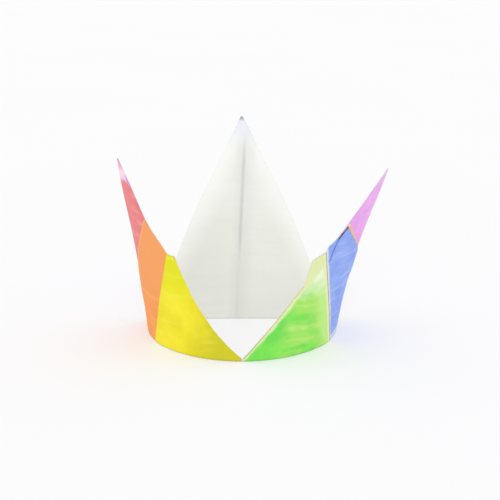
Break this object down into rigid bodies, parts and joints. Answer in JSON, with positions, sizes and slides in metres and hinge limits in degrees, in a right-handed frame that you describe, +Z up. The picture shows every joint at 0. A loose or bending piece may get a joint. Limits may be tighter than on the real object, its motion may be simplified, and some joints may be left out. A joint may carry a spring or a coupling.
{
  "type": "paper party crown",
  "caption": "Hand-made paper crown: tall flared triangular points on one head ring, each a white liner sheet with layered, brush-painted sheets outside.",
  "frame": {"origin": "centre of the head ring, in the plane of its lower edge", "axes": "+Z up through the crown, -Y to the front notch, +X to the right as seen from the front"},
  "size_m": [0.2502, 0.2006, 0.1978],
  "materials": {
    "liner_paper": "matte watercolour paper",
    "tab_paper": "matte watercolour paper",
    "red_paint": "matte watercolour paper",
    "orange_paint": "matte watercolour paper",
    "yellow_paint": "matte watercolour paper",
    "violet_paint": "matte watercolour paper",
    "strip_paint": "matte watercolour paper",
    "blue_paint": "matte watercolour paper",
    "green_paint": "matte watercolour paper",
    "lilac_paint": "matte watercolour paper",
    "magenta_paint": "matte watercolour paper",
    "rose_paint": "matte watercolour paper"
  },
  "bodies": {
    "root": {"left_liner": "liner_paper", "red_sheet": "red_paint", "orange_sheet": "orange_paint", "yellow_sheet": "yellow_paint", "right_liner": "liner_paper", "violet_sheet": "violet_paint", "orange_strip": "strip_paint", "blue_sheet": "blue_paint", "green_sheet": "green_paint", "back_liner": "liner_paper", "lilac_sheet": "lilac_paint", "magenta_sheet": "magenta_paint", "rose_sheet": "rose_paint", "front_tab": "tab_paper", "right_tab": "tab_paper", "left_tab": "tab_paper"}
  },
  "joints": []
}
